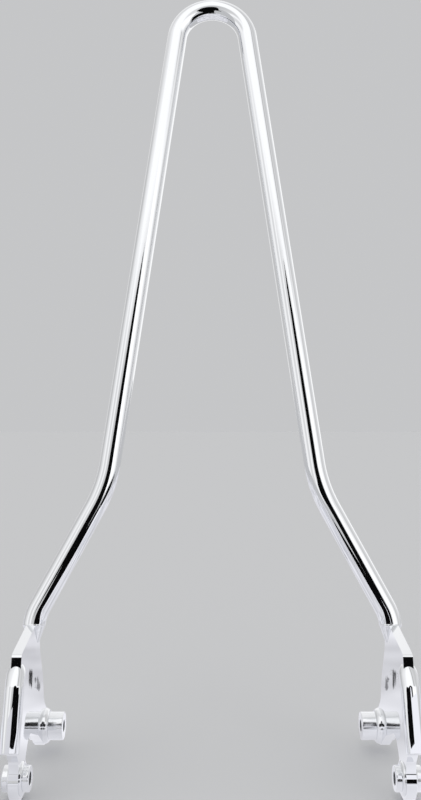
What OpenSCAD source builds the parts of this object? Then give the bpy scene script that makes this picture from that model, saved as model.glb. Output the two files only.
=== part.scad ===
// Sissy bar: a one-piece round rod hoop welded to two thick side plates. Each plate carries a short
// domed bar on its front edge and two round bushings for the mounting bolts. Millimetres, +Z up.
// The rider faces -Y, so left is +X. The hoop leans back toward +Y.
// Sizes across a plate are first given from the front bolt's axis, then the whole part is moved so
// that its origin lies below its middle, at its lowest level.

/* [Hoop] */
// Diameter of the hoop's round rod
rod_d = 19.05; // [14:0.05:24]
// Height of the hoop's centreline over its feet, measured along its lean
hoop_h = 602; // [450:1:750]
// Lean of the hoop to the rear, in degrees
lean = 12; // [4:0.5:20]
// Radius of the top arch at the rod's centreline
arch_r = 35.4; // [28:0.1:50]
// Half the width between the rod's centrelines at the kink
kink_half_w = 94.9; // [75:0.1:115]
// Height of the kink over the hoop's feet, measured along its lean
kink_h = 120; // [90:1:170]
// Bend radius of the kink at the rod's centreline
kink_r = 120; // [40:5:160]
// Height of the short upright foot at each end of the rod
foot_h = 9; // [8:0.5:20]
// Angle of the foot from upright, in degrees
foot_angle = 8; // [0:1:16]
// Bend radius above the foot at the rod's centreline
foot_r = 40; // [20:1:44]

/* [Side plates] */
// Distance between the centre planes of the two side plates
plate_spread = 309.4; // [280:0.2:340]
// Thickness of a side plate
plate_t = 7.9; // [6:0.1:10]
// Height of the hoop's seat over the front bolt's axis
seat_z = 105; // [90:1:130]
// Distance of the hoop's seat behind the front bolt's axis
seat_y = 67; // [60:1:74]
// Length of the hoop's seat behind the rod's axis
seat_back = 7; // [4:0.5:9]
// Length of the hoop's seat ahead of the rod's axis
seat_front = 14; // [11:0.5:20]
// Slope of the plate's top edge down toward the front, in degrees
top_slope = 9.5; // [6:0.5:14]
// Slope of the nose's top over the front bar's dome, in degrees
nose_slope = 13; // [11:0.5:18]
// Distance ahead of the hoop's seat at which the top edge bends down into the nose
knee_ahead = 61; // [56:0.5:66]
// Slope of the nose's front from upright, in degrees
nose_front_slope = 17; // [8:0.5:24]
// Outer radius of the front eye
front_eye_r = 16; // [14.5:0.5:20]
// Outer radius of the rear eye
rear_eye_r = 16; // [15.5:0.5:20]
// Rounding of the nose's tip
nose_r = 3.5; // [1:0.5:4]
// Height of the arch between the eyes over the front bolt's axis
arch_top_z = 25; // [20:0.5:34]

/* [Front bars] */
// Diameter of a front bar
bar_d = 15.2; // [12:0.1:18]
// Length of a front bar from its flat end to the start of its dome
bar_l = 48.4; // [38:0.2:58]
// Length of the long dome on top of a front bar
dome_l = 18; // [14:0.2:20]
// Fullness of the dome's profile: 2 is a plain ellipse, and more is blunter
dome_fullness = 3; // [2:0.1:3.6]
// Slope of a front bar from upright, in degrees
bar_slope = 22.5; // [18:0.5:26]
// Drop of the dome's start below the hoop's seat
dome_drop = 30.8; // [28:0.1:36]
// Distance of the dome's start ahead of the hoop's seat
dome_ahead = 75.5; // [72:0.1:79]

/* [Bushings] */
// Outer diameter of a front bushing
front_bushing_d = 20.2; // [16:0.1:22]
// Length of a front bushing, centred on its plate
front_bushing_l = 21; // [16:0.5:30]
// Outer diameter of a rear bushing
rear_bushing_d = 24.2; // [18:0.1:25]
// Length of a rear bushing on the inner side of its plate
rear_bushing_in = 17; // [6:0.5:30]
// Length of a rear bushing on the outer side of its plate
rear_bushing_out = 5; // [4:0.5:15]
// Diameter of the bolt holes
bolt_hole_d = 10.3; // [6.5:0.1:13]
// Distance of the rear bolt's axis behind the front bolt's axis
bolt_pitch = 97; // [90:1:110]
// Height of the rear bolt's axis over the front bolt's axis
rear_rise = 6; // [0:0.5:12]
// Radial clearance of a bushing in its eye
bushing_clearance = 0.05; // [0:0.01:0.1]
// Chamfer on the edges of bushings and bar ends
edge_chamfer = 0.8; // [0.2:0.1:1.5]

/* [Welds] */
// Width of the weld about a bushing, on the plate's face
ring_weld_w = 3.4; // [1.5:0.1:3.4]
// Height of the weld about a bushing
ring_weld_h = 2; // [1:0.1:2.6]
// Height of the larger weld on the inner side of a rear bushing
rear_weld_h = 4.3; // [2:0.1:5]
// Radius of the bead that joins a front bar to its plate
bar_bead_r = 2.4; // [1.6:0.1:3]
// Drop of the weld skirt below the hoop's foot
skirt_h = 15; // [8:0.5:18]

/* [Hidden] */

// Facets of round shapes, of a bend along its path and round its rod, and steps of a dome's profile
$fn = 64;
bend_facets = 96;
rod_facets = 48;
dome_steps = 12;

chrome = [0.78, 0.79, 0.81];
weld_chrome = [0.68, 0.69, 0.71];

plate_x = plate_spread / 2;
rod_r = rod_d / 2;
bar_r = bar_d / 2;

// Unit vector at an angle from the first axis, and the angle of a vector
function unit(a) = [cos(a), sin(a)];
function angle_of(v) = atan2(v[1], v[0]);

// Places a shape drawn in a plate's own plane, [back, up], at the middle of the left plate
module in_plate_plane() {
    translate([plate_x, 0, 0])
        rotate([90, 0, 90])
            children();
}

// Moves the finished shape to the part's origin
module placed() {
    translate(part_shift)
        children();
}

// The same shape on the right side
module on_right() {
    mirror([1, 0, 0])
        children();
}

// Where the line through p along angle a meets the line through q along angle b
function line_meet(p, a, q, b) =
    let (d = q - p, u = unit(a), w = unit(b), k = (d[0] * w[1] - d[1] * w[0]) / (u[0] * w[1] - u[1] * w[0]))
    p + k * u;

// Points of a round corner of radius r at p, between the lines to the points before and after it
function round_corner(before, p, after, r, steps = 9) =
    r <= 0 ? [p] :
    let (
        u = (before - p) / norm(before - p),
        w = (after - p) / norm(after - p),
        half = acos(u * w) / 2,
        mid = (u + w) / norm(u + w),
        centre = p + mid * r / sin(half),
        start = p + u * r / tan(half) - centre,
        turn = u[0] * w[1] - u[1] * w[0] > 0 ? -1 : 1,
        a0 = angle_of(start)
    )
    [for (i = [0 : steps]) centre + r * unit(a0 + turn * (180 - 2 * half) * i / steps)];

// A closed outline from corners written as [point, corner radius]
function rounded_outline(corners) =
    let (n = len(corners))
    [for (i = [0 : n - 1])
        let (before = corners[(i + n - 1) % n][0], after = corners[(i + 1) % n][0])
        each round_corner(before, corners[i][0], after, corners[i][1])];

// The hoop's path lies flat in its own leaning plane, [across, up], from the foot on the left side
foot_end = [plate_x, 0];
foot_corner = foot_end + foot_h * [-tan(foot_angle), 1];
kink_corner = [kink_half_w, kink_h];
arch_centre = [0, hoop_h - arch_r];
kink_to_arch = arch_centre - kink_corner;
upper_angle = angle_of(kink_to_arch) - asin(arch_r / norm(kink_to_arch));
lower_angle = angle_of(kink_corner - foot_corner);
foot_rise_angle = angle_of(foot_corner - foot_end);
arch_tangent = arch_centre + arch_r * unit(upper_angle - 90);

// How far a bend of radius r reaches back from its corner
function bend_reach(r, turn) = r * tan(abs(turn) / 2);

// How far a straight stretch runs on into a bend, and how much smaller its radius is
bend_overlap = 0.5;
straight_ease = 0.1;

// The rod starts this far below its seat, and is then cut level with the seat
foot_spare = rod_d * tan(foot_angle);

foot_reach = bend_reach(foot_r, lower_angle - foot_rise_angle);
kink_reach = bend_reach(kink_r, lower_angle - upper_angle);

// A straight stretch of rod from p to q in the hoop's plane. It is a hair thinner than the bends,
// and runs on a little inside them.
module rod_straight(p, q, run_on = bend_overlap) {
    translate([p[0], p[1], 0])
        rotate([0, 90, angle_of(q - p)])
            translate([0, 0, -run_on])
                cylinder(h = norm(q - p) + run_on + bend_overlap, r = rod_r - straight_ease);
}

// A bent stretch of rod about a centre in the hoop's plane
module rod_bend(centre, r, from, turn) {
    translate([centre[0], centre[1], 0])
        rotate([0, 0, from])
            rotate_extrude(angle = turn, $fn = bend_facets)
                translate([r, 0])
                    circle(r = rod_r, $fn = rod_facets);
}

// One leg of the hoop, from its foot to the start of the arch
module hoop_leg() {
    foot_start = foot_corner - foot_reach * unit(foot_rise_angle);
    foot_stop = foot_corner + foot_reach * unit(lower_angle);
    kink_start = kink_corner - kink_reach * unit(lower_angle);
    kink_stop = kink_corner + kink_reach * unit(upper_angle);
    rod_straight(foot_end, foot_start, foot_spare);
    rod_bend(foot_start + foot_r * unit(foot_rise_angle + 90), foot_r,
        foot_rise_angle - 90, lower_angle - foot_rise_angle);
    rod_straight(foot_stop, kink_start);
    rod_bend(kink_start + kink_r * unit(lower_angle - 90), kink_r,
        upper_angle + 90, lower_angle - upper_angle);
    rod_straight(kink_stop, arch_tangent);
}

// Turns the hoop's own plane up and back to its lean, with its feet on the seats of the plates
module in_hoop_plane() {
    translate([0, seat_y, seat_z])
        rotate([90 - lean, 0, 0])
            children();
}

// Everything below the hoop's seat, in the hoop's plane
module below_seat() {
    translate([-plate_spread, -2 * rod_d, -rod_d])
        cube([2 * plate_spread, 2 * rod_d, 2 * rod_d]);
}

module hoop() {
    color(chrome)
        placed()
            in_hoop_plane()
                difference() {
                    union() {
                        hoop_leg();
                        mirror([1, 0, 0])
                            hoop_leg();
                        rod_bend(arch_centre, arch_r, upper_angle - 90, 2 * (180 - upper_angle));
                    }
                    below_seat();
                }
}

// The plate's outline, [back, up] from the front bolt's axis
seat = [seat_y, seat_z];
seat_angle = -lean;
bar_angle = 90 - bar_slope;
bar_dome = seat - [dome_ahead, dome_drop];
bar_end = bar_dome - bar_l * unit(bar_angle);
bar_back = bar_r * unit(bar_angle - 90);
seat_start = seat - seat_front * unit(seat_angle);
seat_end = seat + seat_back * unit(seat_angle);
knee = line_meet(seat_start, top_slope, [seat_y - knee_ahead, 0], 90);
rear_bolt = [bolt_pitch, rear_rise];

// Radius and distance along the bar of a point of the dome, at a turn from its start to its tip
function dome_point(turn) =
    let (power = 2 / dome_fullness)
    [bar_r * pow(cos(turn), power), bar_l + dome_l * pow(sin(turn), power)];

// Where the nose's front leaves the dome, as a turn of the dome's profile
nose_foot_turn = 48;
nose_foot = bar_end + dome_point(nose_foot_turn)[1] * unit(bar_angle)
    + dome_point(nose_foot_turn)[0] * unit(bar_angle + 90);
nose_tip = line_meet(nose_foot, 90 - nose_front_slope, knee, nose_slope);

// The box of the finished part, from the front bolt's axis
back_y = seat_y + hoop_h * sin(lean) + rod_r;
front_y = bar_end[0] - bar_r * cos(bar_slope) + edge_chamfer * sin(bar_slope);
low_z = min(-front_eye_r, rear_rise - rear_eye_r);
part_shift = [0, -(back_y + front_y) / 2, -low_z];

// Corners of the plate's rear edge, from the seat's end and from the rear bolt's axis
neck = seat_end + [-3, -19];
haunch = rear_bolt + [-11, 49];
shoulder = rear_bolt + [-6, rear_eye_r + 9];

// Corners of the low arch between the eyes, and of the throat between the front eye and its bar
arch_rear = rear_bolt + [-rear_eye_r - 15, 3];
arch_front = [front_eye_r + 11, arch_top_z + 1];
throat = [-13.5, 18];

// Radii of the outline's corners
knee_r = 20;
seat_start_r = 6;
seat_end_r = 2;
neck_r = 30;
haunch_r = 25;
shoulder_r = 14;
arch_rear_r = 20;
arch_front_r = 14;
throat_r = 6;
bar_foot_r = 3;

// The web ends a little inside each eye's rim, between two angles about the eye's axis
eye_inset = 1;
rear_eye_angles = [30, -125];
front_eye_angles = [42, 150];

// The web between the two eyes, the post under the hoop and the nose over the front bar's dome
module plate_web() {
    corners = [
        [nose_foot, 0],
        [nose_tip, nose_r],
        [knee, knee_r],
        [seat_start, seat_start_r],
        [seat_end, seat_end_r],
        [neck, neck_r],
        [haunch, haunch_r],
        [shoulder, shoulder_r],
        [rear_bolt + (rear_eye_r - eye_inset) * unit(rear_eye_angles[0]), 0],
        [rear_bolt + (rear_eye_r - eye_inset) * unit(rear_eye_angles[1]), 0],
        [arch_rear, arch_rear_r],
        [arch_front, arch_front_r],
        [(front_eye_r - eye_inset) * unit(front_eye_angles[0]), 0],
        [(front_eye_r - eye_inset) * unit(front_eye_angles[1]), 0],
        [throat, throat_r],
        [bar_end + bar_back, bar_foot_r],
        [bar_dome + bar_back, 0],
        [bar_dome, 0]
    ];
    linear_extrude(plate_t)
        polygon(rounded_outline(corners));
}

module plate_blank() {
    in_plate_plane()
        translate([0, 0, -plate_t / 2]) {
            plate_web();
            cylinder(h = plate_t, r = front_eye_r);
            translate(rear_bolt)
                cylinder(h = plate_t, r = rear_eye_r);
        }
}

module side_plate() {
    color(chrome)
        placed()
            difference() {
                plate_blank();
                bar_solid();
                bushing_space([0, 0], front_bushing_d);
                bushing_space(rear_bolt, rear_bushing_d);
            }
}

// The hole through a plate that holds a bushing
module bushing_space(axis, d) {
    in_plate_plane()
        translate([axis[0], axis[1], -plate_t])
            cylinder(h = 2 * plate_t, d = d + 2 * bushing_clearance);
}

// A round bushing on a bolt axis, from one distance across the plate to another, [in, out]
module bushing(axis, d, inner, outer) {
    in_plate_plane()
        translate([axis[0], axis[1], -plate_t / 2 - inner])
            rotate_extrude()
                bushing_section(d / 2, plate_t + inner + outer);
}

module bushing_section(r, length) {
    polygon([
        [bolt_hole_d / 2, 0],
        [r - edge_chamfer, 0],
        [r, edge_chamfer],
        [r, length - edge_chamfer],
        [r - edge_chamfer, length],
        [bolt_hole_d / 2, length]
    ]);
}

module front_bushing() {
    side = (front_bushing_l - plate_t) / 2;
    color(chrome)
        placed()
            bushing([0, 0], front_bushing_d, side, side);
}

module rear_bushing() {
    color(chrome)
        placed()
            bushing(rear_bolt, rear_bushing_d, rear_bushing_in, rear_bushing_out);
}

// Puts a shape drawn along +Z on the axis of the front bar, with its start at the bar's flat end
module on_bar_axis() {
    in_plate_plane()
        translate([bar_end[0], bar_end[1], 0])
            rotate([0, 90, bar_angle])
                children();
}

module bar_solid() {
    dome = [for (i = [0 : dome_steps - 1]) dome_point(90 * i / dome_steps)];
    on_bar_axis()
        rotate_extrude()
            polygon(concat(
                [[0, 0], [bar_r - edge_chamfer, 0], [bar_r, edge_chamfer]],
                dome,
                [[0, bar_l + dome_l]]
            ));
}

module front_bar() {
    color(chrome)
        placed()
            bar_solid();
}

// One bead lies in the groove on each side of the plate's front edge, short of the bar's two ends,
// with its axis a little inside the bar's rear
module front_bar_weld() {
    end_margin = 3;
    set_in = 1;
    bead_l = bar_l - 2 * end_margin;
    color(weld_chrome)
        placed()
            difference() {
                on_bar_axis()
                    for (side = [-1, 1])
                        translate([side * plate_t / 2, set_in - bar_r, end_margin])
                            cylinder(h = bead_l, r = bar_bead_r);
                plate_blank();
                bar_solid();
            }
}

// A tapered weld about a bushing, on the plate's outer or inner face
module ring_weld(axis, d, face, height) {
    color(weld_chrome)
        placed()
            in_plate_plane()
                translate([axis[0], axis[1], face * plate_t / 2])
                    mirror([0, 0, face < 0 ? 1 : 0])
                        rotate_extrude()
                            polygon([[d / 2, 0], [d / 2 + ring_weld_w, 0], [d / 2, height]]);
}

// The weld tapers from the rod's end to a thin toe on the plate's two faces
module hoop_weld() {
    toe = 0.8;
    color(weld_chrome)
        placed()
            difference() {
                in_hoop_plane()
                    translate([plate_x, -skirt_h, 0])
                        rotate([-90, 0, 0])
                            cylinder(h = skirt_h, r1 = plate_t / 2 + toe, r2 = rod_r);
                plate_blank();
            }
}

module left_side_plate() {
    side_plate();
}

module right_side_plate() {
    on_right()
        side_plate();
}

module left_front_bar() {
    front_bar();
}

module right_front_bar() {
    on_right()
        front_bar();
}

module left_front_bushing() {
    front_bushing();
}

module right_front_bushing() {
    on_right()
        front_bushing();
}

module left_rear_bushing() {
    rear_bushing();
}

module right_rear_bushing() {
    on_right()
        rear_bushing();
}

module left_hoop_weld() {
    hoop_weld();
}

module right_hoop_weld() {
    on_right()
        hoop_weld();
}

module left_front_bar_weld() {
    front_bar_weld();
}

module right_front_bar_weld() {
    on_right()
        front_bar_weld();
}

module left_front_bushing_inner_weld() {
    ring_weld([0, 0], front_bushing_d, -1, ring_weld_h);
}

module right_front_bushing_inner_weld() {
    on_right()
        left_front_bushing_inner_weld();
}

module left_front_bushing_outer_weld() {
    ring_weld([0, 0], front_bushing_d, 1, ring_weld_h);
}

module right_front_bushing_outer_weld() {
    on_right()
        left_front_bushing_outer_weld();
}

module left_rear_bushing_inner_weld() {
    ring_weld(rear_bolt, rear_bushing_d, -1, rear_weld_h);
}

module right_rear_bushing_inner_weld() {
    on_right()
        left_rear_bushing_inner_weld();
}

module left_rear_bushing_outer_weld() {
    ring_weld(rear_bolt, rear_bushing_d, 1, ring_weld_h);
}

module right_rear_bushing_outer_weld() {
    on_right()
        left_rear_bushing_outer_weld();
}

hoop();
left_side_plate();
right_side_plate();
left_front_bar();
right_front_bar();
left_front_bushing();
right_front_bushing();
left_rear_bushing();
right_rear_bushing();
left_hoop_weld();
right_hoop_weld();
left_front_bar_weld();
right_front_bar_weld();
left_front_bushing_inner_weld();
right_front_bushing_inner_weld();
left_front_bushing_outer_weld();
right_front_bushing_outer_weld();
left_rear_bushing_inner_weld();
right_rear_bushing_inner_weld();
left_rear_bushing_outer_weld();
right_rear_bushing_outer_weld();
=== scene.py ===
# %% [markdown]
# # A chromed sissy bar under studio light
#
# The object is the tall round-rod hoop that stands behind a motorcycle's seat. It is all bright
# chrome: one bent rod, welded to two thick side plates, each with a short round bar on its front
# edge and two bushings for the mounting bolts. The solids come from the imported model. This lesson
# gives each of them the surface that the real one shows, and the studio that the chrome mirrors.
# Chrome has no colour of its own, so most of its look is the studio's.

# %% Load the frame
import math

import bmesh
import bpy
from mathutils import Matrix, Vector


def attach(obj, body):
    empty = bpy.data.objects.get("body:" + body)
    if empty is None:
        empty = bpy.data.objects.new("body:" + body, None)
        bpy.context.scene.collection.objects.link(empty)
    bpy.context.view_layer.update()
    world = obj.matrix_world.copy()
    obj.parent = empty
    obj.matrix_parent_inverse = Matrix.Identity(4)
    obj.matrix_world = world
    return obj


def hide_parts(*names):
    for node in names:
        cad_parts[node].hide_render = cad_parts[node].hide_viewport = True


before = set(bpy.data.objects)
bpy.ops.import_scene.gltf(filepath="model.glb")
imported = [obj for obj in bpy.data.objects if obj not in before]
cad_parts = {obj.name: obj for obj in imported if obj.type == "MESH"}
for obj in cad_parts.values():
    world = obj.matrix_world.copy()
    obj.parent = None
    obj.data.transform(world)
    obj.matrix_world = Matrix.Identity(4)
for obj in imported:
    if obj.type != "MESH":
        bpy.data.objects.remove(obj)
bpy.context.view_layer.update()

MM = 0.001

# %% [markdown]
# ## The camera
#
# The photograph was taken straight on, with the lens level and a little below the middle of the
# hoop, and from quite near: the front bars look larger than the rod behind them. Its distance was
# found from how the rod's width grows from top to bottom. A camera could be aimed at the object by
# a constraint, but fixed numbers are plainer and can be checked against the photograph's pixels.

# %% Camera
IMAGE_W, IMAGE_H = 421, 800
# The focal length and the column of the object's middle, in pixels of that frame
FOCAL_PX, CENTRE_PX = 883, 212.3
SENSOR_W = 36
CAMERA_Y, CAMERA_Z = -0.78398, 0.316

camera_data = bpy.data.cameras.new("camera")
camera_data.sensor_width = SENSOR_W
camera_data.lens = FOCAL_PX / IMAGE_H * SENSOR_W
camera_data.shift_x = (IMAGE_W / 2 - CENTRE_PX) / IMAGE_H
camera_data.clip_start = 0.01
camera_data.clip_end = 50
camera = bpy.data.objects.new("camera", camera_data)
camera.location = (0, CAMERA_Y, CAMERA_Z)
camera.rotation_euler = (math.radians(90), 0, 0)
bpy.context.scene.collection.objects.link(camera)
bpy.context.scene.camera = camera
print("lens, mm:", round(camera_data.lens, 2))

# %% [markdown]
# ## Sizes
#
# The pieces below are drawn from the same sizes as the solids, in millimetres. A plate is drawn in
# its own plane as [back, up] from the front bolt's axis, and the hoop as [across, up] in its own
# leaning plane, from the middle between its feet. Two small functions take such points to their
# place in the frame.

# %% Sizes from the part's source
ROD_R = 19.05 / 2
HOOP_H, LEAN, ARCH_R = 602, 12, 35.4
KINK_HALF_W, KINK_H, KINK_R = 94.9, 120, 120
FOOT_H, FOOT_ANGLE, FOOT_R = 9, 8, 40
PLATE_X, PLATE_T = 309.4 / 2, 7.9
SEAT = Vector((67, 105))
BAR_R, BAR_L, BAR_SLOPE = 15.2 / 2, 48.4, 22.5
BAR_TOP = SEAT - Vector((75.5, 30.8))
FRONT_BOLT, REAR_BOLT = Vector((0, 0)), Vector((97, 6))
# Where the front bolt's axis lies in the frame
SHIFT_Y, SHIFT_Z = -83.97, 16


def unit(degrees):
    """A unit vector at an angle from the first axis."""
    return Vector((math.cos(math.radians(degrees)), math.sin(math.radians(degrees))))


def in_plate(point, x):
    """A point [back, up] of a plate's plane, at x across, in the frame in metres."""
    return Vector((x, point[0] + SHIFT_Y, point[1] + SHIFT_Z)) * MM


def in_hoop(point, ahead=0):
    """A point [across, up] of the hoop's leaning plane, or ahead of it, in the frame in metres."""
    lean = math.radians(LEAN)
    y = SEAT[0] + point[1] * math.sin(lean) - ahead * math.cos(lean)
    z = SEAT[1] + point[1] * math.cos(lean) + ahead * math.sin(lean)
    return Vector((point[0], y + SHIFT_Y, z + SHIFT_Z)) * MM


print("seat of the hoop, m:", tuple(round(v, 4) for v in in_plate(SEAT, PLATE_X)))

# %% [markdown]
# ## Chrome
#
# Bright chrome is a thin layer over polished and nickelled steel. It takes the steel's own faint
# waviness with it, so straight reflections swim a little, and it is not equally clean all over. A
# mirror with nothing else would look drawn. Three noises are enough: a haze that dulls it in
# places, a long wave that bends the reflections, and a fine grain that breaks them up. The turned
# bushings are duller than the rod, and weld metal isn't polished before plating, so it has the
# deepest wave and grain.


# %% Chrome and plated weld metal
def node(tree, kind, **values):
    """Adds a shader node and sets its sockets' values."""
    made = tree.nodes.new(kind)
    for name, value in values.items():
        made.inputs[name.replace("_", " ")].default_value = value
    return made


def plated(name, colour, roughness, wave, grain):
    """Chrome with a range of roughness, and a wave and a grain given as noise scale and depth."""
    material = bpy.data.materials.new(name)
    material.use_nodes = True
    tree = material.node_tree
    shader = tree.nodes["Principled BSDF"]
    shader.inputs["Base Color"].default_value = (*colour, 1)
    shader.inputs["Metallic"].default_value = 1
    place = node(tree, "ShaderNodeTexCoord")

    haze = node(tree, "ShaderNodeTexNoise", Scale=35.0, Detail=4.0, Roughness=0.6)
    dull = node(tree, "ShaderNodeMapRange", From_Min=0.35, From_Max=0.75,
                To_Min=roughness[0], To_Max=roughness[1])
    tree.links.new(place.outputs["Object"], haze.inputs["Vector"])
    tree.links.new(haze.outputs["Fac"], dull.inputs["Value"])
    tree.links.new(dull.outputs["Result"], shader.inputs["Roughness"])

    last_normal = None
    for (scale, depth), detail in ((wave, 1.0), (grain, 3.0)):
        noise = node(tree, "ShaderNodeTexNoise", Scale=scale, Detail=detail)
        bump = node(tree, "ShaderNodeBump", Strength=1.0, Distance=depth)
        tree.links.new(place.outputs["Object"], noise.inputs["Vector"])
        tree.links.new(noise.outputs["Fac"], bump.inputs["Height"])
        if last_normal is not None:
            tree.links.new(last_normal, bump.inputs["Normal"])
        last_normal = bump.outputs["Normal"]
    tree.links.new(last_normal, shader.inputs["Normal"])
    return material


chrome = plated("bright_chrome", (0.86, 0.87, 0.89), roughness=(0.015, 0.06),
                wave=(60, 0.00006), grain=(900, 0.0000015))
turned_chrome = plated("turned_chrome", (0.84, 0.85, 0.87), roughness=(0.14, 0.24),
                       wave=(90, 0.00004), grain=(1200, 0.000003))
weld_chrome = plated("plated_weld", (0.82, 0.83, 0.85), roughness=(0.05, 0.16),
                     wave=(260, 0.00015), grain=(1500, 0.00001))

# %% [markdown]
# ## Pieces from meshes
#
# Every piece ends as a plain mesh at the origin, with its place in its vertices, and rides on the
# one body of the model. `lathe` turns a profile about an axis, which is how the bushings are made
# on the real part too. Smooth shading with sharp edges above an angle keeps the long reflections
# clean and the turned shoulders crisp.

# %% Finish a mesh
SHARP_ABOVE = 40


def finish_mesh(bm, mesh, sharp_above=SHARP_ABOVE):
    """Writes a bmesh to a mesh, smooth except at edges sharper than the angle."""
    bmesh.ops.recalc_face_normals(bm, faces=bm.faces)
    bm.to_mesh(mesh)
    bm.free()
    mesh.shade_smooth()
    mesh.set_sharp_from_angle(angle=math.radians(sharp_above))


def add_object(name, mesh):
    """Puts a mesh into the scene."""
    made = bpy.data.objects.new(name, mesh)
    bpy.context.scene.collection.objects.link(made)
    return made


def bmesh_object(name, bm, sharp_above=SHARP_ABOVE):
    """Makes an object of a bmesh."""
    mesh = bpy.data.meshes.new(name)
    finish_mesh(bm, mesh, sharp_above)
    return add_object(name, mesh)


def settle(obj):
    """Applies all modifiers of an object to its mesh."""
    graph = bpy.context.evaluated_depsgraph_get()
    mesh = bpy.data.meshes.new_from_object(obj.evaluated_get(graph))
    obj.modifiers.clear()
    obj.data = mesh
    return obj


def dress(obj, material, *nodes):
    """Gives a piece its finish and lets it stand for its CAD nodes."""
    obj.data.materials.clear()
    obj.data.materials.append(material)
    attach(obj, "root")
    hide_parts(*nodes)
    return obj


print("edges sharper than this stay crisp, degrees:", SHARP_ABOVE)

# %% Rings, arcs and the lathe
POLE_BELOW = 1e-6
LATHE_STEPS = 128


def skin(bm, rings, steps, tube=False):
    """Joins rings of points by faces. A ring of one point is a pole, and a tube's ends are joined."""
    pairs = list(zip(rings, rings[1:]))
    if tube:
        pairs.append((rings[-1], rings[0]))
    for a, b in pairs:
        for i in range(steps):
            j = (i + 1) % steps
            if len(a) == 1:
                bm.faces.new((a[0], b[i], b[j]))
            elif len(b) == 1:
                bm.faces.new((a[i], b[0], a[j]))
            else:
                bm.faces.new((a[i], b[i], b[j], a[j]))


def lathe(name, profile, start, along, steps=LATHE_STEPS):
    """Turns a profile of [radius, distance] in mm about an axis. Radius 0 closes it to a pole."""
    along = along.normalized()
    side = along.orthogonal().normalized()
    other = along.cross(side)
    turns = [2 * math.pi * i / steps for i in range(steps)]
    bm = bmesh.new()
    rings = []
    for radius, distance in profile:
        middle = start + along * distance * MM
        if radius < POLE_BELOW:
            rings.append([bm.verts.new(middle)])
            continue
        rings.append([bm.verts.new(middle + (side * math.cos(t) + other * math.sin(t)) * radius * MM)
                      for t in turns])
    skin(bm, rings, steps, tube=len(rings[0]) > 1)
    return bmesh_object(name, bm)


def arc(centre, radius, start, end, steps):
    """Points of an arc between two angles in degrees."""
    return [centre + radius * unit(start + (end - start) * i / steps) for i in range(steps + 1)]


def circle(centre, radius, steps):
    """Points of a whole circle, each once."""
    return arc(centre, radius, 0, 360 - 360 / steps, steps - 1)


print("facet of a turned piece as thick as the rod, mm:", round(2 * math.pi * ROD_R / LATHE_STEPS, 2))

# %% [markdown]
# ## The hoop
#
# The real hoop is one round bar, bent cold round formers: a small bend above each foot, a wide
# kink, and a tight arch on top. Its whole shape follows one rule, a circle led along a path, so
# Geometry Nodes make it: the path's points become a curve, and Curve to Mesh leads the rod's
# section along it. A swept surface has even, unbroken normals, which the long dark stripe in the
# chrome needs. Each foot is swept a little too long, and then cut flush with the sloping seat on
# its plate.

# %% Path of the hoop
ARCH_STEPS = 100


def bend(before, corner, after, radius, step=1.5):
    """Points of a round bend at a corner, one for each step of so many degrees."""
    u = (before - corner).normalized()
    w = (after - corner).normalized()
    half = u.angle(w) / 2
    centre = corner + (u + w).normalized() * radius / math.sin(half)
    first = corner + u * radius / math.tan(half) - centre
    last = corner + w * radius / math.tan(half) - centre
    turn = first.angle_signed(last)
    steps = max(2, round(abs(math.degrees(turn)) / step))
    return [centre + Matrix.Rotation(-turn * i / steps, 2) @ first for i in range(steps + 1)]


foot_end = Vector((PLATE_X, 0))
foot_corner = foot_end + FOOT_H * Vector((-math.tan(math.radians(FOOT_ANGLE)), 1))
kink_corner = Vector((KINK_HALF_W, KINK_H))
arch_centre = Vector((0, HOOP_H - ARCH_R))
to_arch = arch_centre - kink_corner
upper_angle = math.degrees(math.atan2(to_arch[1], to_arch[0]) - math.asin(ARCH_R / to_arch.length))
arch_tangent = arch_centre + ARCH_R * unit(upper_angle - 90)
foot_spare = 2 * ROD_R * math.tan(math.radians(FOOT_ANGLE))
foot_start = foot_end + (foot_end - foot_corner).normalized() * foot_spare

left_leg = [foot_start]
left_leg += bend(foot_end, foot_corner, kink_corner, FOOT_R)
left_leg += bend(foot_corner, kink_corner, arch_tangent, KINK_R)
right_leg = [Vector((-p[0], p[1])) for p in reversed(left_leg)]
over_arch = arc(arch_centre, ARCH_R, upper_angle - 90, 270 - upper_angle, ARCH_STEPS)
hoop_path = left_leg + over_arch + right_leg
print("points on the hoop's path:", len(hoop_path))


# %% Helpers for Geometry Nodes
def node_group(name, sizes):
    """A new Geometry Nodes tree with named number inputs, and its first and last nodes."""
    tree = bpy.data.node_groups.new(name, "GeometryNodeTree")
    tree.interface.new_socket("Geometry", in_out="INPUT", socket_type="NodeSocketGeometry")
    for size, kind in sizes.items():
        tree.interface.new_socket(size, in_out="INPUT", socket_type=kind)
    tree.interface.new_socket("Geometry", in_out="OUTPUT", socket_type="NodeSocketGeometry")
    return tree, tree.nodes.new("NodeGroupInput"), tree.nodes.new("NodeGroupOutput")


def end_tree(tree, last, out, material):
    """Ends a tree in Realize Instances and Set Material."""
    real = tree.nodes.new("GeometryNodeRealizeInstances")
    paint = tree.nodes.new("GeometryNodeSetMaterial")
    paint.inputs["Material"].default_value = material
    tree.links.new(last, real.inputs[0])
    tree.links.new(real.outputs[0], paint.inputs["Geometry"])
    tree.links.new(paint.outputs[0], out.inputs[0])
    print(tree.name, "inputs:", [item.name for item in tree.interface.items_tree
                                 if item.item_type == "SOCKET" and item.in_out == "INPUT"])


def run_tree(obj, tree, **sizes):
    """Runs a tree on an object with its inputs set, and keeps the plain mesh."""
    modifier = obj.modifiers.new(tree.name, "NODES")
    modifier.node_group = tree
    for item in tree.interface.items_tree:
        key = item.name.lower()
        if item.item_type == "SOCKET" and item.in_out == "INPUT" and key in sizes:
            modifier[item.identifier] = sizes[key]
    return settle(obj)


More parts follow.
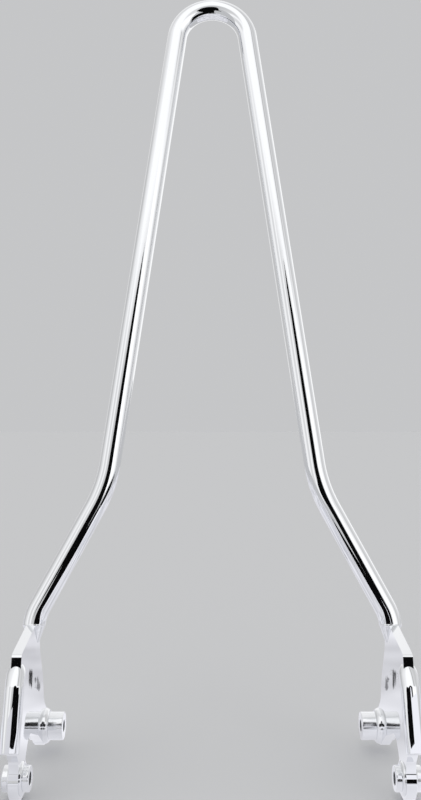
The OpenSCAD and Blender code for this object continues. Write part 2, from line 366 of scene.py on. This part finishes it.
def path_object(name, points, closed=False):
    """An object of one chain of edges."""
    mesh = bpy.data.meshes.new(name)
    edges = [(i, i + 1) for i in range(len(points) - 1)]
    if closed:
        edges.append((len(points) - 1, 0))
    mesh.from_pydata([tuple(p) for p in points], edges, [])
    return add_object(name, mesh)


# %% Rod tree
rod_tree, group_in, group_out = node_group(
    "swept rod", {"Radius": "NodeSocketFloat", "Facets": "NodeSocketInt"})
to_curve = rod_tree.nodes.new("GeometryNodeMeshToCurve")
section = rod_tree.nodes.new("GeometryNodeCurvePrimitiveCircle")
sweep = rod_tree.nodes.new("GeometryNodeCurveToMesh")
sweep.inputs["Fill Caps"].default_value = True
rod_tree.links.new(group_in.outputs["Geometry"], to_curve.inputs["Mesh"])
rod_tree.links.new(group_in.outputs["Radius"], section.inputs["Radius"])
rod_tree.links.new(group_in.outputs["Facets"], section.inputs["Resolution"])
rod_tree.links.new(to_curve.outputs["Curve"], sweep.inputs["Curve"])
rod_tree.links.new(section.outputs["Curve"], sweep.inputs["Profile Curve"])
end_tree(rod_tree, sweep.outputs["Mesh"], group_out, chrome)

# %% Sweep the rod and cut its feet
hoop = path_object("hoop_rod", [in_hoop(p) for p in hoop_path])
run_tree(hoop, rod_tree, radius=ROD_R * MM, facets=128)

bm = bmesh.new()
bm.from_mesh(hoop.data)
bmesh.ops.remove_doubles(bm, verts=bm.verts, dist=1e-6)
hoop_up = in_hoop((0, 1)) - in_hoop((0, 0))
cut = bmesh.ops.bisect_plane(bm, geom=bm.verts[:] + bm.edges[:] + bm.faces[:], dist=1e-7,
                             plane_co=in_hoop((0, 0)), plane_no=hoop_up, clear_inner=True)
bmesh.ops.holes_fill(bm, edges=[e for e in cut["geom_cut"] if isinstance(e, bmesh.types.BMEdge)])
finish_mesh(bm, hoop.data)
dress(hoop, chrome, "hoop")
print("hoop faces:", len(hoop.data.polygons))

# %% [markdown]
# ## The side plates
#
# Each plate was cut from thick flat bar and ground smooth, so its faces are flat mirrors and its
# edges are broken by a small round. The outline is drawn once, with its two eyes, and filled round
# the bushing holes. A Bevel modifier rounds the edges, and Weighted Normal keeps the flat faces
# flat to the eye: without it the round would bleed into the mirror.

# %% Corners of a side plate
SEAT_AHEAD, SEAT_BACK = 14, 7
TOP_SLOPE, NOSE_SLOPE, NOSE_FRONT_SLOPE = 9.5, 13, 17
KNEE_AHEAD = 61
EYE_R = 16


def line_meet(p, a, q, b):
    """Where the line through p along angle a meets the line through q along angle b."""
    u, w, d = unit(a), unit(b), q - p
    k = (d[0] * w[1] - d[1] * w[0]) / (u[0] * w[1] - u[1] * w[0])
    return p + k * u


bar_up, bar_ahead = unit(90 - BAR_SLOPE), unit(180 - BAR_SLOPE)
bar_end = BAR_TOP - BAR_L * bar_up
bar_back = BAR_R * unit(-BAR_SLOPE)

seat_start = SEAT - SEAT_AHEAD * unit(-LEAN)
seat_end = SEAT + SEAT_BACK * unit(-LEAN)
knee = line_meet(seat_start, TOP_SLOPE, Vector((SEAT[0] - KNEE_AHEAD, 0)), 90)
nose_foot = Vector((-5.2, 86.5))
nose_tip = line_meet(nose_foot, 90 - NOSE_FRONT_SLOPE, knee, NOSE_SLOPE)
neck = seat_end + Vector((-3, -19))
haunch, shoulder = REAR_BOLT + Vector((-11, 49)), REAR_BOLT + Vector((-6, 25))
arch_rear, arch_front, throat = REAR_BOLT + Vector((-31, 3)), Vector((27, 26)), Vector((-13.5, 18))

# Each corner has its rounding radius. An eye has the angles of the rim points that the edges
# before and after it are aimed at.
corners = [(nose_tip, 3.5), (knee, 20), (seat_start, 6), (seat_end, 2), (neck, 30), (haunch, 25),
           (shoulder, 14), "rear eye", (arch_rear, 20), (arch_front, 14), "front eye", (throat, 6),
           (bar_end + bar_back, 3), (BAR_TOP + bar_back, 0), (BAR_TOP, 0), (nose_foot, 0)]
eyes = {"rear eye": (REAR_BOLT, 30, -125), "front eye": (FRONT_BOLT, 42, 150)}
print("corners of a plate:", len(corners))


# %% Outline of a side plate
def enter_circle(outside, inside, centre, radius):
    """Where a line from outside a circle towards a point inside it meets the circle."""
    towards = (inside - outside).normalized()
    to_centre = centre - outside
    near = to_centre.dot(towards)
    return outside + towards * (near - math.sqrt(radius ** 2 - (to_centre.length_squared - near ** 2)))


def eye_aim(eye, degrees):
    """The point just inside an eye's rim that an edge is aimed at."""
    return eye + (EYE_R - 1) * unit(degrees)


def eye_arc(before, after, eye, first, last, steps=48):
    """The part of an eye's rim that a plate's outline follows, clockwise."""
    start = enter_circle(before, eye_aim(eye, first), eye, EYE_R) - eye
    end = enter_circle(after, eye_aim(eye, last), eye, EYE_R) - eye
    a = math.degrees(math.atan2(start[1], start[0]))
    b = math.degrees(math.atan2(end[1], end[0]))
    if b > a:
        b -= 360
    return arc(eye, EYE_R, a, b, steps)


def edge_point(corner, which):
    """The point that an edge runs to: a corner, or an eye's first (0) or last (1) aim."""
    if isinstance(corner, str):
        eye, *aims = eyes[corner]
        return eye_aim(eye, aims[which])
    return corner[0]


outline = []
for i, corner in enumerate(corners):
    before = edge_point(corners[i - 1], 1)
    after = edge_point(corners[(i + 1) % len(corners)], 0)
    if isinstance(corner, str):
        outline += eye_arc(before, after, *eyes[corner])
        continue
    point, radius = corner
    outline += bend(before, point, after, radius, step=4) if radius else [point]
print("points on the plate's outline:", len(outline))

# %% Cut and bevel the plates
FRONT_BUSHING_R, REAR_BUSHING_R = 20.2 / 2, 24.2 / 2
FIT = 0.05
HOLE_STEPS = 96
PLATE_ROUND = 0.9
holes = [(FRONT_BOLT, FRONT_BUSHING_R + FIT), (REAR_BOLT, REAR_BUSHING_R + FIT)]


def plate(name, side):
    """One side plate; side is 1 for the rider's left and -1 for the right."""
    bm = bmesh.new()
    loops = [outline] + [circle(centre, radius, HOLE_STEPS) for centre, radius in holes]
    edges = []
    for loop in loops:
        verts = [bm.verts.new(in_plate(p, side * (PLATE_X - PLATE_T / 2))) for p in loop]
        edges += [bm.edges.new((verts[i - 1], verts[i])) for i in range(len(verts))]
    bmesh.ops.triangle_fill(bm, use_beauty=True, edges=edges)
    swept = bmesh.ops.extrude_face_region(bm, geom=bm.faces[:])
    moved = [v for v in swept["geom"] if isinstance(v, bmesh.types.BMVert)]
    bmesh.ops.translate(bm, verts=moved, vec=(side * PLATE_T * MM, 0, 0))
    made = bmesh_object(name, bm, sharp_above=50)
    edge = made.modifiers.new("edge", "BEVEL")
    edge.width = PLATE_ROUND * MM
    edge.segments = 4
    edge.limit_method = "ANGLE"
    edge.angle_limit = math.radians(60)
    flat = made.modifiers.new("flat", "WEIGHTED_NORMAL")
    flat.keep_sharp = True
    return settle(made)


for side, hand in ((1, "left"), (-1, "right")):
    piece = dress(plate(hand + "_plate", side), chrome, hand + "_side_plate")
    print(piece.name, "faces:", len(piece.data.polygons))

# %% [markdown]
# ## Front bars and bushings
#
# A bushing is a turned piece, so it is a profile on the lathe: a thick tube with broken edges on
# both ends. It is left a little duller than the rod, as a turned end is. A front bar is a length of
# round rod with a flat foot. Its top is ground back to run out on the plate's nose, so it can't be
# turned: it is built from cross sections instead, each with its own depth and width. That slope is
# what ends the dark stripe on the bar so squarely in the photograph, and leaves its cap white.

# %% Bushings
BROKEN_EDGE, BORE_EDGE = 0.8, 0.4
BOLT_R = 10.3 / 2
FRONT_BUSHING_OUT = 6.55
REAR_BUSHING_IN, REAR_BUSHING_OUT = 17, 5
bushings = {"front": (FRONT_BOLT, FRONT_BUSHING_R, FRONT_BUSHING_OUT, FRONT_BUSHING_OUT),
            "rear": (REAR_BOLT, REAR_BUSHING_R, REAR_BUSHING_IN, REAR_BUSHING_OUT)}


def rounded(radius, distance, outward):
    """A small round at a shoulder: outward is -1 at the start of a piece and 1 at its end."""
    centre = Vector((radius - BROKEN_EDGE, distance - outward * BROKEN_EDGE))
    turns = (-90, 0) if outward < 0 else (0, 90)
    return [tuple(p) for p in arc(centre, BROKEN_EDGE, *turns, 5)]


def bushing(name, side, bolt, radius, inner, outer):
    """A bored tube through a plate's eye, standing so far out on the inner and the outer side."""
    length = inner + PLATE_T + outer
    profile = [(BOLT_R, BORE_EDGE), (BOLT_R + BORE_EDGE, 0)] + rounded(radius, 0, -1)
    profile += rounded(radius, length, 1) + [(BOLT_R + BORE_EDGE, length), (BOLT_R, length - BORE_EDGE)]
    start = in_plate(bolt, side * (PLATE_X - PLATE_T / 2 - inner))
    return lathe(name, profile, start, Vector((side, 0, 0)))


print("length of a rear bushing, mm:", REAR_BUSHING_IN + PLATE_T + REAR_BUSHING_OUT)

# %% Front bars
# The ground top: its length, a short round into the slope, how fast the slope deepens after it,
# and a last stretch that is ground back further to meet the nose's face.
TOP_L, TOP_STEPS = 20, 60
EASE_L, EASE, HOLLOW = 1.5, 0.08, 0.0088
FACE_FROM, FACE = 16.3, 0.2
# The top narrows from this height, by this power, and keeps a little width on its last ring.
NARROW_FROM, NARROW_POWER, NARROW_SPARE = 8, 2.5, 0.1


def front_offset(t):
    """How far the bar's front lies from its axis, t mm above the foot of its ground top."""
    eased = min(t, EASE_L)
    beyond = t - eased
    past_face = max(0, t - FACE_FROM)
    slope = 2 * EASE * EASE_L
    return BAR_R - EASE * eased ** 2 - slope * beyond - HOLLOW * beyond ** 2 - FACE * past_face ** 2


def half_width(t):
    """Half the bar's width, t mm above the foot of its ground top."""
    share = max(0, t - NARROW_FROM) / (TOP_L - NARROW_FROM + NARROW_SPARE)
    return BAR_R * math.sqrt(1 - share ** NARROW_POWER)


def ground_bar(name, x, steps=96):
    """A front bar: a round rod, ground at its top to run out on the plate's nose."""
    stations = [(d, r, r, r) for r, d in [(0, 0)] + rounded(BAR_R, 0, -1)]
    stations.append((BAR_L, BAR_R, BAR_R, BAR_R))
    for i in range(1, TOP_STEPS + 1):
        t = TOP_L * i / TOP_STEPS
        stations.append((BAR_L + t, front_offset(t), BAR_R, half_width(t)))
    stations.append((BAR_L + TOP_L, front_offset(TOP_L), BAR_R, 0))
    turns = [2 * math.pi * i / steps for i in range(steps)]
    bm = bmesh.new()
    rings = []
    for along_bar, front, back, width in stations:
        middle = bar_end + bar_up * along_bar + bar_ahead * (front - back) / 2
        if width < POLE_BELOW:
            rings.append([bm.verts.new(in_plate(middle, x))])
            continue
        depth = (front + back) / 2
        rings.append([bm.verts.new(in_plate(middle + bar_ahead * depth * math.sin(t),
                                            x + width * math.cos(t))) for t in turns])
    skin(bm, rings, steps)
    return bmesh_object(name, bm)


print("front of a bar's top end behind its axis, mm:", round(-front_offset(TOP_L), 2))

# %% Both sides' bars and bushings
for side, hand in ((1, "left"), (-1, "right")):
    bar = dress(ground_bar(hand + "_bar", side * PLATE_X), chrome, hand + "_front_bar")
    for place, sizes in bushings.items():
        tube = bushing(f"{hand}_{place}_tube", side, *sizes)
        dress(tube, turned_chrome, f"{hand}_{place}_bushing")
    print(hand, "bar, mm:", [round(v / MM, 1) for v in bar.dimensions])

# %% [markdown]
# ## Welds
#
# A weld is a row of overlapping puddles, each a little ridge across the bead. It repeats along a
# path, so one Geometry Nodes tree makes them all: it leads a round or oval section along the path,
# and lets it swell once for each puddle, with a noise so that no two are alike. The part of the
# section that isn't seen lies inside the two pieces that it joins. The rear bushings stand out
# furthest, and the photograph shows their inner rings as the widest.

# %% Weld bead tree
bead_tree, group_in, group_out = node_group("weld bead", {
    "Radius": "NodeSocketFloat", "Puddles": "NodeSocketInt", "Swell": "NodeSocketFloat",
    "Step": "NodeSocketFloat", "Wide": "NodeSocketFloat"})


def math_node(tree, operation, a, b=None):
    """A math node fed by sockets or numbers; gives its result."""
    made = tree.nodes.new("ShaderNodeMath")
    made.operation = operation
    for socket, value in zip(made.inputs, (a, b)):
        if isinstance(value, (int, float)):
            socket.default_value = value
        elif value is not None:
            tree.links.new(value, socket)
    return made.outputs[0]


to_curve = bead_tree.nodes.new("GeometryNodeMeshToCurve")
resample = bead_tree.nodes.new("GeometryNodeResampleCurve")
resample.mode = "LENGTH"
along = bead_tree.nodes.new("GeometryNodeSplineParameter")
noise = bead_tree.nodes.new("ShaderNodeTexNoise")
noise.inputs["Scale"].default_value = 320
noise.inputs["Detail"].default_value = 1
swelling = bead_tree.nodes.new("GeometryNodeSetCurveRadius")
section = bead_tree.nodes.new("GeometryNodeCurvePrimitiveCircle")
section.inputs["Resolution"].default_value = 28
flatten = bead_tree.nodes.new("GeometryNodeTransform")
stretch = bead_tree.nodes.new("ShaderNodeCombineXYZ")
stretch.inputs["Y"].default_value = 1
stretch.inputs["Z"].default_value = 1
sweep = bead_tree.nodes.new("GeometryNodeCurveToMesh")
sweep.inputs["Fill Caps"].default_value = True

half_turns = math_node(bead_tree, "MULTIPLY", group_in.outputs["Puddles"], math.pi)
phase = math_node(bead_tree, "MULTIPLY", half_turns, along.outputs["Factor"])
ridge = math_node(bead_tree, "ABSOLUTE", math_node(bead_tree, "SINE", phase))
uneven = math_node(bead_tree, "ADD", ridge, noise.outputs["Fac"])
centred = math_node(bead_tree, "SUBTRACT", uneven, 1)
swollen = math_node(bead_tree, "MULTIPLY", centred, group_in.outputs["Swell"])
bead_radius = math_node(bead_tree, "ADD", swollen, 1)

bead_tree.links.new(group_in.outputs["Geometry"], to_curve.inputs["Mesh"])
bead_tree.links.new(to_curve.outputs["Curve"], resample.inputs["Curve"])
bead_tree.links.new(group_in.outputs["Step"], resample.inputs["Length"])
bead_tree.links.new(resample.outputs["Curve"], swelling.inputs["Curve"])
bead_tree.links.new(bead_radius, swelling.inputs["Radius"])
bead_tree.links.new(swelling.outputs["Curve"], sweep.inputs["Curve"])
bead_tree.links.new(group_in.outputs["Radius"], section.inputs["Radius"])
bead_tree.links.new(group_in.outputs["Wide"], stretch.inputs["X"])
bead_tree.links.new(section.outputs["Curve"], flatten.inputs["Geometry"])
bead_tree.links.new(stretch.outputs["Vector"], flatten.inputs["Scale"])
bead_tree.links.new(flatten.outputs["Geometry"], sweep.inputs["Profile Curve"])
end_tree(bead_tree, sweep.outputs["Mesh"], group_out, weld_chrome)

# %% Rings round the bushings
PUDDLE_L, BEAD_STEP = 1.9, 0.25
RING_R, RING_STEPS = 3.3, 180
RING_H, REAR_INNER_RING_H = 2.2, 4.6
SUNK = 0.1


def bead(name, points, closed, radius, nodes, swell=0.1, wide=1.0):
    """One weld bead along points in metres, standing for its CAD nodes."""
    made = path_object(name, points, closed)
    length = sum((b - a).length for a, b in zip(points, points[1:]))
    run_tree(made, bead_tree, radius=radius * MM, puddles=round(length / MM / PUDDLE_L),
             swell=swell, step=BEAD_STEP * MM, wide=wide)
    made.data.shade_smooth()
    return dress(made, weld_chrome, *nodes)


for side, hand in ((1, "left"), (-1, "right")):
    for place, (bolt, radius, *_) in bushings.items():
        for face, level in (("inner", -1), ("outer", 1)):
            height = REAR_INNER_RING_H if (place, face) == ("rear", "inner") else RING_H
            x = side * (PLATE_X + level * (PLATE_T / 2 - SUNK))
            ring = [in_plate(p, x) for p in circle(bolt, radius - SUNK, RING_STEPS)]
            made = bead(f"{hand}_{place}_{face}_ring", ring, True, RING_R,
                        [f"{hand}_{place}_bushing_{face}_weld"], swell=0.13, wide=height / RING_R)
    print(hand, "last ring, mm:", [round(v / MM, 1) for v in made.dimensions])

# %% [markdown]
# ## The joint under the hoop
#
# Each rod ends on its plate in a weld that tapers from the rod's round to the plate's thickness,
# with a narrow bead where the rod begins. A cone on the lathe is enough for the taper, because it
# was ground smooth. The front bars are held by a bead down each side, laid by the same tree.

# %% Skirt welds and front bar beads
SKIRT_L, SKIRT_LAP = 15, 0.8
TOE_R, TOE_DROP, TOE_BEAD_R = ROD_R - 1.7, 0.2, 1.9
TOE_STEPS = 120
BAR_BEAD_R, BAR_BEAD_INSET = 2.4, 1
# A bar's beads run along it between these distances from its flat foot, a point each millimetre.
BAR_BEAD_SPAN = range(3, 46)

skirt_profile = [(0, 0), (ROD_R, 0), (PLATE_T / 2 + SKIRT_LAP, SKIRT_L), (0, SKIRT_L)]
bead_foot = bar_end + bar_back * ((BAR_R - BAR_BEAD_INSET) / BAR_R)
hoop_down = in_hoop((0, -1)) - in_hoop((0, 0))
for side, hand in ((1, "left"), (-1, "right")):
    skirt = lathe(hand + "_skirt", skirt_profile, in_hoop((side * PLATE_X, 0)), hoop_down)
    dress(skirt, weld_chrome, hand + "_hoop_weld")
    toe = [in_hoop((side * PLATE_X + p[0], -TOE_DROP), p[1])
           for p in circle(Vector((0, 0)), TOE_R, TOE_STEPS)]
    bead(hand + "_hoop_bead", toe, True, TOE_BEAD_R, [hand + "_hoop_weld"], swell=0.16)
    for i, level in enumerate((-1, 1)):
        x = side * (PLATE_X + level * PLATE_T / 2)
        line = [in_plate(bead_foot + bar_up * s, x) for s in BAR_BEAD_SPAN]
        made = bead(f"{hand}_bar_bead_{i}", line, False, BAR_BEAD_R, [f"{hand}_front_bar_weld"])
    print(hand, "last bar bead, mm:", [round(v / MM, 1) for v in made.dimensions])

# %% [markdown]
# ## The studio
#
# The chrome in the photograph is nearly white from edge to edge, with one sharp dark stripe along
# each rod. That is a white tent round the object, left open in front for the camera: the dark
# stripe is the gap. The tent is the world, with the brightness of its walls and of its roof set by
# direction, and the gap is a dark card behind the camera. The camera itself sees only a plain pale
# floor and backdrop. The cards below are seen by reflections only.

# %% Floor
BACKDROP = (0.56, 0.565, 0.575)
FLOOR_COLOUR = (0.62, 0.625, 0.635)
FLOOR_Z, REACH = -0.0005, 8

floor_mesh = bpy.data.meshes.new("floor")
floor_mesh.from_pydata([(x * REACH, y * REACH, FLOOR_Z) for x, y in ((-1, -1), (1, -1), (1, 1), (-1, 1))],
                       [], [(0, 1, 2, 3)])
floor = add_object("floor", floor_mesh)
paper = bpy.data.materials.new("paper")
paper.use_nodes = True
paper_shader = paper.node_tree.nodes["Principled BSDF"]
paper_shader.inputs["Base Color"].default_value = (*FLOOR_COLOUR, 1)
paper_shader.inputs["Roughness"].default_value = 0.9
paper_shader.inputs["Specular IOR Level"].default_value = 0
floor_mesh.materials.append(paper)
print("floor, m across:", 2 * REACH)

# %% [markdown]
# ## The gap in the tent
#
# A card is a flat face that glows evenly, or cloudily where it stands for uneven cloth. The gap is
# one dark card behind the camera. It tapers upward, as the stripes on the hoop's legs do. Below it
# the front of the studio is dark as well: a sill in the same plane, and a mat on the floor. They
# show as the crescent under the arch, and give the stripes on the lower legs their width.

# %% Gap, sill and mat
DARK = 0.003
GAP_Y = -0.81
MAT_Z = 0.0005


def card(name, corners, value, clouds=0):
    """A flat card that only reflections see. A cloudy one has so many clouds a metre."""
    mesh = bpy.data.meshes.new(name)
    mesh.from_pydata(corners, [], [tuple(range(len(corners)))])
    made = add_object(name, mesh)
    material = bpy.data.materials.new(name)
    material.use_nodes = True
    tree = material.node_tree
    tree.nodes.clear()
    glow = node(tree, "ShaderNodeEmission", Color=(value, value, value * 1.05, 1), Strength=1.0)
    if clouds:
        place = node(tree, "ShaderNodeTexCoord")
        noise = node(tree, "ShaderNodeTexNoise", Scale=clouds, Detail=2.0)
        power = node(tree, "ShaderNodeMapRange", From_Min=0.3, From_Max=0.7, To_Min=0.6, To_Max=1.15)
        tree.links.new(place.outputs["Object"], noise.inputs["Vector"])
        tree.links.new(noise.outputs["Fac"], power.inputs["Value"])
        tree.links.new(power.outputs["Result"], glow.inputs["Strength"])
    out = node(tree, "ShaderNodeOutputMaterial")
    tree.links.new(glow.outputs[0], out.inputs["Surface"])
    mesh.materials.append(material)
    made.visible_camera = made.visible_diffuse = made.visible_shadow = False
    return made


gap = card("gap", [(x, GAP_Y, z) for x, z in (
    (-0.36, 0.277), (0.42, 0.277), (0.42, 0.42), (0.38, 0.62), (0.30, 0.90), (0.13, 1.00),
    (-0.06, 0.90), (-0.16, 0.62), (-0.20, 0.42), (-0.36, 0.34))], DARK)
card("sill", [(x, GAP_Y, z) for x, z in (
    (-0.10, 0.002), (0.42, 0.002), (0.42, 0.278), (-0.10, 0.278))], DARK)
card("mat", [(x, y, MAT_Z) for x, y in (
    (-0.10, -0.80), (3.0, -2.40), (3.0, -0.31), (0.30, -0.31), (-0.10, -0.38))], DARK)
print("gap in the tent, m:", [round(v, 2) for v in gap.dimensions])

# %% [markdown]
# ## The near board
#
# The stripes on the two front bars don't fit the same gap: lines drawn back from both cross close
# to the object. So a low board stands there, between the front bars and the gap. It is dark in the
# middle and light at its ends and along its foot, so each bar's stripe has a sharp edge on both
# sides and ends above the bar's foot.

# %% Near board
NEAR_LEFT, NEAR_RIGHT = -0.137, 0.142
NEAR_Y, NEAR_SKEW = -0.25, 0.212
NEAR_FOOT = 0.05


def near(x, z):
    """A corner of the near board's dark part, which stands a little askew."""
    return (x, NEAR_Y + (x - NEAR_LEFT) * NEAR_SKEW, z)


board = card("board_middle", [near(*corner) for corner in (
    (NEAR_LEFT, 0.090), (0, 0.072), (NEAR_RIGHT, 0.078), (NEAR_RIGHT, 0.150), (0.085, 0.150),
    (0.07, 0.172), (-0.07, 0.172), (-0.085, 0.150), (NEAR_LEFT, 0.150))], DARK)
card("board_foot", [near(*corner) for corner in (
    (NEAR_LEFT, NEAR_FOOT), (NEAR_RIGHT, NEAR_FOOT), (NEAR_RIGHT, 0.078), (0, 0.072),
    (NEAR_LEFT, 0.090))], 1.0)
card("board_left", [
    (-0.35, -0.30, NEAR_FOOT), near(NEAR_LEFT, NEAR_FOOT), near(NEAR_LEFT, 0.145),
    (-0.35, -0.30, 0.145)], 0.75)
card("board_right", [
    near(NEAR_RIGHT, NEAR_FOOT), (0.35, -0.15, NEAR_FOOT), (0.35, -0.15, 0.127),
    (0.168, -0.186, 0.127), near(NEAR_RIGHT, 0.162)], 1.0)
print("dark part of the near board, m:", [round(v, 3) for v in board.dimensions])

# %% [markdown]
# ## The sheet on the floor
#
# The flat inner faces of the plates mirror the floor behind the object. In the photograph they are
# bright and cloudy, with a few short dark marks. A cloudy white sheet on the floor gives the
# brightness, and two slips on it on each side, one dark and one grey, give each face its marks.

# %% Sheet and slips
SHEET_Z, SLIP_Z = 0.0006, 0.0012
SHEET_HALF_W, SHEET_FRONT, SHEET_BACK = 0.9, -0.30, 1.6

card("sheet", [(x, y, SHEET_Z) for x, y in (
    (-SHEET_HALF_W, SHEET_FRONT), (SHEET_HALF_W, SHEET_FRONT), (SHEET_HALF_W, SHEET_BACK),
    (-SHEET_HALF_W, SHEET_BACK))], 0.9, clouds=7)
for side in (-1, 1):
    card(f"slip_near_{side}", [(side * x, y, SLIP_Z) for x, y in (
        (0.1045, 0.176), (0.1005, 0.190), (0.0965, 0.205), (0.0905, 0.232), (0.0895, 0.252),
        (0.0945, 0.232), (0.0975, 0.215), (0.1025, 0.192))], 0.03)
    card(f"slip_far_{side}", [(side * x, y, SLIP_Z) for x, y in (
        (0.1135, 0.170), (0.1085, 0.182), (0.1065, 0.196), (0.1020, 0.212), (0.1015, 0.226),
        (0.1045, 0.214), (0.1085, 0.200), (0.1125, 0.184))], 0.25)
print("sheet, m:", 2 * SHEET_HALF_W, "by", round(SHEET_BACK - SHEET_FRONT, 2))

# %% [markdown]
# ## The tent
#
# The tent's cloth isn't equally bright all round: its panels overlap, and its lamps stand to the
# sides. The world gives it two rings of brightness by direction, one for the walls and one for the
# roof, which melt into each other where the walls lean in. Lamps could do this too, but a mirror
# shows a lamp as a hard shape, and a ring of soft panels as the long shades that are in the chrome.


# %% Tent walls and roof
def light_ring(tree, share, lights):
    """A ring of soft panels, from [degrees round from the front, brightness]."""
    panels = node(tree, "ShaderNodeValToRGB")
    panels.color_ramp.interpolation = "EASE"
    tree.links.new(share, panels.inputs["Fac"])
    while len(panels.color_ramp.elements) < len(lights):
        panels.color_ramp.elements.new(0.5)
    for element, (degrees, value) in zip(panels.color_ramp.elements, lights):
        element.position = degrees / 360 + 0.5
        element.color = (value, value, value, 1)
    return panels.outputs["Color"]


world = bpy.data.worlds.new("tent")
bpy.context.scene.world = world
world.use_nodes = True
tree = world.node_tree
tree.nodes.clear()
direction = node(tree, "ShaderNodeTexCoord")
split = node(tree, "ShaderNodeSeparateXYZ")
tree.links.new(direction.outputs["Generated"], split.inputs[0])
ahead = math_node(tree, "MULTIPLY", split.outputs["Y"], -1)
turn = math_node(tree, "ARCTAN2", split.outputs["X"], ahead)
share = math_node(tree, "ADD", math_node(tree, "DIVIDE", turn, 2 * math.pi), 0.5)
walls = light_ring(tree, share, [
    (-180, 1.10), (-135, 0.62), (-114, 0.58), (-95, 0.80), (-67, 1.05), (-56, 0.78), (-46, 0.80),
    (-34, 1.10), (-22, 0.72), (0, 0.60), (22, 0.85), (34, 1.30), (56, 1.20), (74, 0.92), (85, 0.62),
    (99, 0.74), (113, 0.78), (135, 1.10), (180, 1.10)])
roof = light_ring(tree, share, [
    (-180, 1.00), (-110, 0.78), (-75, 0.95), (-45, 1.15), (30, 1.15), (48, 1.0), (57, 0.45),
    (66, 0.75), (90, 0.66), (135, 0.90), (180, 1.00)])
print("nodes in the tent so far:", len(tree.nodes))

# %% Join walls, roof and backdrop
ROOF_FROM, ROOF_FULL = 0.42, 0.62

rise = node(tree, "ShaderNodeMapRange", From_Min=ROOF_FROM, From_Max=ROOF_FULL)
rise.interpolation_type = "SMOOTHSTEP"
tree.links.new(split.outputs["Z"], rise.inputs["Value"])
inside = node(tree, "ShaderNodeMixRGB")
tree.links.new(rise.outputs["Result"], inside.inputs["Fac"])
tree.links.new(walls, inside.inputs["Color1"])
tree.links.new(roof, inside.inputs["Color2"])
bright = node(tree, "ShaderNodeBackground", Strength=1.0)
tree.links.new(inside.outputs["Color"], bright.inputs["Color"])
plain = node(tree, "ShaderNodeBackground", Color=(*BACKDROP, 1), Strength=1.0)
path = node(tree, "ShaderNodeLightPath")
mix = node(tree, "ShaderNodeMixShader")
out = node(tree, "ShaderNodeOutputWorld")
tree.links.new(path.outputs["Is Camera Ray"], mix.inputs[0])
tree.links.new(bright.outputs[0], mix.inputs[1])
tree.links.new(plain.outputs[0], mix.inputs[2])
tree.links.new(mix.outputs[0], out.inputs["Surface"])
print("roof begins, degrees up:", round(math.degrees(math.asin(ROOF_FROM)), 1))

# %% View
bpy.context.scene.view_settings.view_transform = "Standard"
